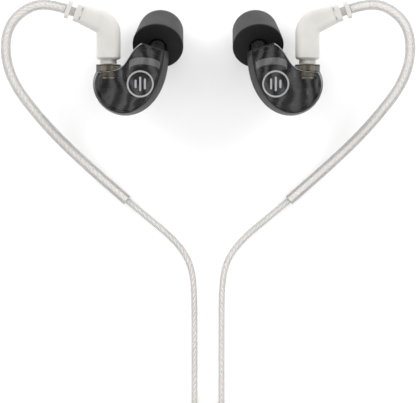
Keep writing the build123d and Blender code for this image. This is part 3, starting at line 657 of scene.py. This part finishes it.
def memory_foam():
    """Open-cell foam: fine pores with painted shade in them, specks, a darker cut base, a soft sheen
    down its side.
    """
    f = Finish("memory_foam")
    pores = f.cells(5200)
    specks = f.noise(6500, 4)
    side = f.ramp(specks, (0.030, 0.030, 0.031), (0.064, 0.064, 0.066), 0.28, 0.72)
    # Painted shade in the pores: the open cells are darker.
    side = f.mix(f.span(pores, 0.55, 0.0, 0.0, 0.35), side, (0.021, 0.021, 0.022))
    base = f.ramp(specks, (0.007, 0.007, 0.007), (0.013, 0.013, 0.0134))
    reach = f.node("Attribute", attribute_name="reach").outputs["Fac"]
    colour = f.mix(f.span(reach, 0.0, 1.0, 0.10, 0.22), base, side)
    normal = f.bump(specks, 0.03, 0.7, f.bump(pores, 0.05, 0.8))
    gloss = f.span(f.noise(300, 3), 0.62, 0.78)
    return f.done(f.shader(Base_Color=colour, Roughness=gloss, Normal=normal, Specular_IOR_Level=0.2,
                           Sheen_Weight=0.12, Sheen_Roughness=0.4, Sheen_Tint=(0.8, 0.8, 0.82, 1)))


def driver_can():
    """The driver's housing: a satin wall, black on its back, and a painted glow that brightens the wall
    behind the smoky shell.
    """
    f = Finish("driver_steel")
    parts = f.node("SeparateXYZ", {"Vector": f.place})
    mirrored_place = f.node("CombineXYZ", {
        "X": f.maths("ABSOLUTE", parts.outputs["X"]), "Y": parts.outputs["Y"], "Z": parts.outputs["Z"],
    }).outputs[0]
    reach = f.maths("SUBTRACT", f.dot(mirrored_place, DRIVER_AXIS), DRIVER_AXIS.dot(DRIVER_CENTRE))
    marks = f.noise(1.0, 4, place=f.stretched(1500, 700, 1500))
    wall = f.ramp(marks, (0.70, 0.70, 0.70), (0.95, 0.95, 0.95))
    colour = f.mix(f.span(reach, 1, 0, *BLACK_BACK), wall, (0.006, 0.006, 0.006))
    normal = f.bump(marks, 0.004)
    gloss = f.span(f.noise(900, 3), 0.38, 0.55)
    # The wall emits light: a painted glow, not a lamp.
    return f.done(f.shader(Base_Color=colour, Metallic=0.15, Roughness=gloss, Normal=normal,
                           Emission_Color=colour, Emission_Strength=0.25))


STRAND_SHADES = ((0.93, 0.89, 0.86), (0.98, 0.95, 0.92))
WIRES_ROUND = 8.0  # fine wires round a strand
WIRES_ALONG = 0.9  # and along a millimetre of it


def strand(name, dark, light, groove_shade, depth, **inputs):
    """Fine silvery wires laid round each strand.

    The third argument sets how much painted shade the grooves between the strands get, and depth the
    shade's tone there, as a share of dark.
    """
    f = Finish(name)
    uv = f.node("SeparateXYZ", {"Vector": f.node("TexCoord").outputs["UV"]}).outputs
    lay = f.maths("ADD", f.times(uv["X"], WIRES_ROUND), f.times(uv["Y"], WIRES_ALONG))
    wire = f.span(f.maths("SINE", f.times(lay, 2 * math.pi)), 0.0, 1.0, -1.0, 1.0)
    patch = f.ramp(f.noise(420, 3), dark, light)
    colour = f.mix(f.span(wire, 0.3, 0.0, 0.0, 0.8), patch, tuple(c * 0.75 for c in dark))
    # Painted shade in the grooves between the strands, where little light reaches.
    facing_out = f.maths("COSINE", f.times(uv["X"], 2 * math.pi))
    colour = f.mix(f.span(facing_out, groove_shade, 0.0, 0.0, 0.75), colour, tuple(c * depth for c in dark))
    normal = f.bump(wire, 0.012, 0.5)
    gloss = f.span(f.noise(1500, 3), 0.22, 0.38)
    return f.done(f.shader(Base_Color=colour, Roughness=gloss, Normal=normal, Metallic=0.25,
                           Coat_Weight=0.7, Coat_Roughness=0.08, Coat_IOR=1.5, **inputs))


def clear_tube():
    """Clear soft tube: see-through in the middle, greyer where it is seen edge on."""
    f = Finish("clear_tube")
    edge = f.node("LayerWeight", {"Blend": 0.5}).outputs["Facing"]
    share = f.span(edge, 0.96, 0.50, 0.04, 0.12)
    gloss = f.span(f.noise(500, 4), 0.06, 0.16)
    normal = f.bump(f.noise(600, 3), 0.004)
    colour = f.ramp(f.noise(240, 3), (0.30, 0.29, 0.278), (0.365, 0.354, 0.34))
    body = f.shader(Base_Color=colour, Roughness=gloss, Normal=normal, IOR=1.45)
    return f.done(f.blend(share, body, f.clear(0.97)))


def clear_bore():
    """The inside of the clear tube: hardly there, but for a little gloss."""
    f = Finish("clear_bore")
    colour = f.ramp(f.noise(240, 3), (0.50, 0.49, 0.47), (0.60, 0.59, 0.57))
    body = f.shader(Base_Color=colour, Roughness=f.span(f.noise(500, 4), 0.1, 0.2), IOR=1.3)
    return f.done(f.blend(0.97, body, f.clear(0.99)))


def woven_tape():
    """Hook-and-loop tape: a woven ground under a short fuzz."""
    f = Finish("tie_tape")
    warp, weft = (
        f.node("TexWave", {"Vector": f.place, "Scale": scale, "Distortion": distortion, "Detail": 2.0,
                           "Detail Scale": 2.0}, bands_direction=way).outputs["Fac"]
        for scale, distortion, way in ((1400, 1.5, "Y"), (1100, 2.0, "DIAGONAL"))
    )
    weave = f.times(warp, weft)
    fuzz = f.noise(5200, 4)
    colour = f.ramp(f.maths("ADD", f.times(weave, 0.5), f.times(fuzz, 0.5)),
                    (0.012, 0.012, 0.013), (0.055, 0.055, 0.058))
    normal = f.bump(fuzz, 0.05, 0.8, f.bump(weave, 0.06, 0.9))
    return f.done(f.shader(Base_Color=colour, Roughness=0.85, Normal=normal, Sheen_Weight=0.5,
                           Sheen_Roughness=0.45))


def shaded_glowing_brass():
    """The socket's turned brass, with painted shade along its middle, where it faces no light, and a
    painted glow over it.
    """
    f = Finish("shaded_glowing_brass")
    beyond = f.maths("ABSOLUTE", f.node("SeparateXYZ", {"Vector": f.place}).outputs["X"])
    across = f.maths("ABSOLUTE", f.maths("SUBTRACT", beyond, SOCKET_X))
    marks = f.noise(1.0, 4, place=f.stretched(900, 4200, 900))
    colour = f.ramp(marks, (0.80, 0.68, 0.38), (0.96, 0.85, 0.54))
    # Painted shade along the socket's middle.
    colour = f.mix(f.span(across, 0.75, 0.0, 0.35 * MM, 0.75 * MM), colour, (0.08, 0.06, 0.02))
    gloss = f.span(f.noise(900, 4), 0.3, 0.45)
    normal = f.bump(marks, 0.004)
    # The brass emits light: a painted glow that brightens it behind the smoky shell.
    return f.done(f.shader(Base_Color=colour, Roughness=gloss, Normal=normal, Metallic=0.3,
                           Emission_Color=colour, Emission_Strength=0.33))


def wire_mesh():
    """A woven metal screen: crossing wires over dark holes."""
    f = Finish("screen_mesh")
    waves = [
        f.node("TexWave", {"Vector": f.place, "Scale": 1500}, bands_direction=way).outputs["Fac"]
        for way in ("X", "Y")
    ]
    cloth = f.most(*waves)
    colour = f.ramp(cloth, (0.02, 0.02, 0.02), (0.42, 0.42, 0.43), 0.35, 0.75)
    normal = f.bump(cloth, 0.06)
    gloss = f.span(f.noise(900, 3), 0.3, 0.45)
    return f.done(f.shader(Base_Color=colour, Metallic=0.8, Roughness=gloss, Normal=normal))


finishes = {
    "faceplate": smoke("smoke_face", (0.013, 0.013, 0.0135), (0.130, 0.130, 0.132)),
    "inner_shell": smoke("smoke_shell", (0.010, 0.010, 0.011), (0.055, 0.055, 0.056)),
    "badge": moulded("badge_foil", (0.27, 0.27, 0.28), (0.34, 0.34, 0.35), (0.25, 0.4), 3800, 0.003,
                     Metallic=0.3),
    "driver_frame": driver_can(),
    "driver_magnet": moulded("magnet_black", (0.008, 0.008, 0.008), (0.018, 0.018, 0.018), (0.3, 0.45),
                             2400, 0.006),
    "driver_diaphragm": moulded("diaphragm_film", (0.60, 0.57, 0.48), (0.72, 0.69, 0.60), (0.25, 0.4),
                                2400, 0.01),
    "crossover_board": moulded("circuit_board", (0.030, 0.034, 0.031), (0.052, 0.058, 0.054), (0.3, 0.5),
                               3000, 0.012),
    "driver_wires": moulded("copper_wire", (0.05, 0.022, 0.012), (0.10, 0.045, 0.025), (0.3, 0.45),
                            3000, 0.004, Metallic=0.5),
    "gold": brushed("gold_brass", (0.58, 0.46, 0.24), (0.78, 0.66, 0.38), (0.2, 0.34),
                    (700, 5200, 700)),
    # The inner gold emits a little light: a painted glow.
    "glowing_inner_gold": moulded("glowing_inner_gold", (0.72, 0.62, 0.36), (0.90, 0.80, 0.50), (0.35, 0.5), 2600, 0.006,
                          Metallic=0.35, Emission_Color=(0.8, 0.66, 0.36, 1), Emission_Strength=0.06),
    "shaded_glowing_brass": shaded_glowing_brass(),
    "white": moulded("white_insulator", (0.70, 0.70, 0.67), (0.80, 0.80, 0.77), (0.35, 0.5)),
    "nozzle_screen": wire_mesh(),
    "tip_core": moulded("tip_tube", (0.020, 0.020, 0.021), (0.040, 0.040, 0.042), (0.35, 0.5)),
    "frosted": frosted("frosted_plastic", (0.50, 0.487, 0.462), (0.56, 0.547, 0.52), Coat_Weight=0.15,
                       Coat_Roughness=0.15, Subsurface_Weight=0.35, Subsurface_Radius=(0.9, 0.8, 0.7),
                       Subsurface_Scale=0.0012),
    "boot": moulded("boot_rubber", (0.56, 0.55, 0.52), (0.64, 0.63, 0.60), (0.45, 0.6), 3600, 0.006),
    "housing": brushed("plug_housing", (0.48, 0.48, 0.50), (0.66, 0.66, 0.68), (0.26, 0.4),
                       (300, 5200, 5200)),
    "black": moulded("black_insulator", (0.012, 0.012, 0.012), (0.028, 0.028, 0.028), (0.3, 0.45)),
}
PAIRED_FINISH = {
    "socket_barrel": "shaded_glowing_brass", "socket_contact": "glowing_inner_gold", "socket_insulator": "white",
    "plug_barrel": "glowing_inner_gold", "plug_pin": "gold", "plug_insulator": "white", "snap_ring": "gold",
    "elbow": "frosted", "strain_relief": "frosted",
}
SHARED_FINISH = {
    "chin_slider": "frosted", "splitter": "frosted", "jack_boot": "boot", "jack_housing": "housing",
    "jack_insulator": "black", "jack_sleeve": "gold", "jack_ring": "gold", "jack_tip": "gold",
}


def paint(piece, material):
    """Every material slot of the piece gets the material."""
    if piece.data.materials:
        for i in range(len(piece.data.materials)):
            piece.data.materials[i] = material
    else:
        piece.data.materials.append(material)


for name, node in nodes.items():
    bare = name.split("_", 1)[1] if name.split("_", 1)[0] in SIDES else name
    key = PAIRED_FINISH.get(bare) or SHARED_FINISH.get(bare) or bare
    if key in finishes:  # the other nodes are replaced by pieces made here
        paint(node, finishes[key])

foam_material = memory_foam()
tube_material = clear_tube()
bore_material = clear_bore()
tape_material = woven_tape()
# Both strand materials emit white light: a painted glow that brightens them inside their clear jackets.
glowing_strand_material = strand("glowing_cord_strands", *STRAND_SHADES, 0.5, 0.45, Emission_Strength=0.18)
glowing_core_material = strand("glowing_clear_core", *STRAND_SHADES, 0.12, 0.35, Emission_Strength=0.14)
for foam in foams:
    paint(foam, foam_material)
for pipe_piece in (*hook_tubes.values(), *branch_cords.values(), main_cord):
    pipe_piece.data.materials.append(tube_material)
    pipe_piece.data.materials.append(bore_material)
for side in SIDES:
    paint(hook_cores[side], glowing_core_material)
for piece in tapes.values():
    paint(piece, tape_material)
for core in strands.values():
    paint(core, glowing_strand_material)

# ---------------------------------------------------------------- floor and light
FLOOR_HALF = 4.0
floor_mesh = bpy.data.meshes.new("floor")
floor_corners = [(x * FLOOR_HALF, y * FLOOR_HALF, 0) for x, y in ((-1, -1), (1, -1), (1, 1), (-1, 1))]
floor_mesh.from_pydata(floor_corners, [], [(0, 1, 2, 3)])
floor = bpy.data.objects.new("floor", floor_mesh)
bpy.context.scene.collection.objects.link(floor)
floor_finish = Finish("floor")
floor_shade = floor_finish.ramp(floor_finish.noise(3.0, 2), (0.93, 0.93, 0.93), (0.95, 0.95, 0.95))
paint(floor, floor_finish.done(floor_finish.shader(Base_Color=floor_shade, Roughness=0.9)))


def softbox(name, place, target, size, power):
    """A rectangular area light, in metres and watts, that leaves no image of itself in gloss."""
    light = bpy.data.lights.new(name, "AREA")
    light.shape = "RECTANGLE"
    light.size, light.size_y = size
    light.energy = power
    lamp = bpy.data.objects.new(name, light)
    lamp.location = place
    lamp.visible_glossy = False
    lamp.rotation_euler = (Vector(target) - Vector(place)).to_track_quat("-Z", "Y").to_euler()
    bpy.context.scene.collection.objects.link(lamp)


for side, factor in SIDES.items():
    softbox(f"{side}_softbox", (-1.0 * factor, 0.75, 0.62), (0, 0, 0), size=(0.8, 0.5), power=8.0)
softbox("top_softbox", (0, 1.2, 0.75), (0, -0.02, 0), size=(1.2, 0.5), power=3.0)
softbox("front_softbox", (0, -1.3, 0.8), (0, -0.05, 0), size=(1.6, 0.4), power=4.0)

world = bpy.data.worlds.new("studio")
world.use_nodes = True
background = world.node_tree.nodes["Background"].inputs
background["Color"].default_value = (1, 1, 1, 1)
background["Strength"].default_value = 1.0
bpy.context.scene.world = world
bpy.context.scene.view_settings.view_transform = "Standard"
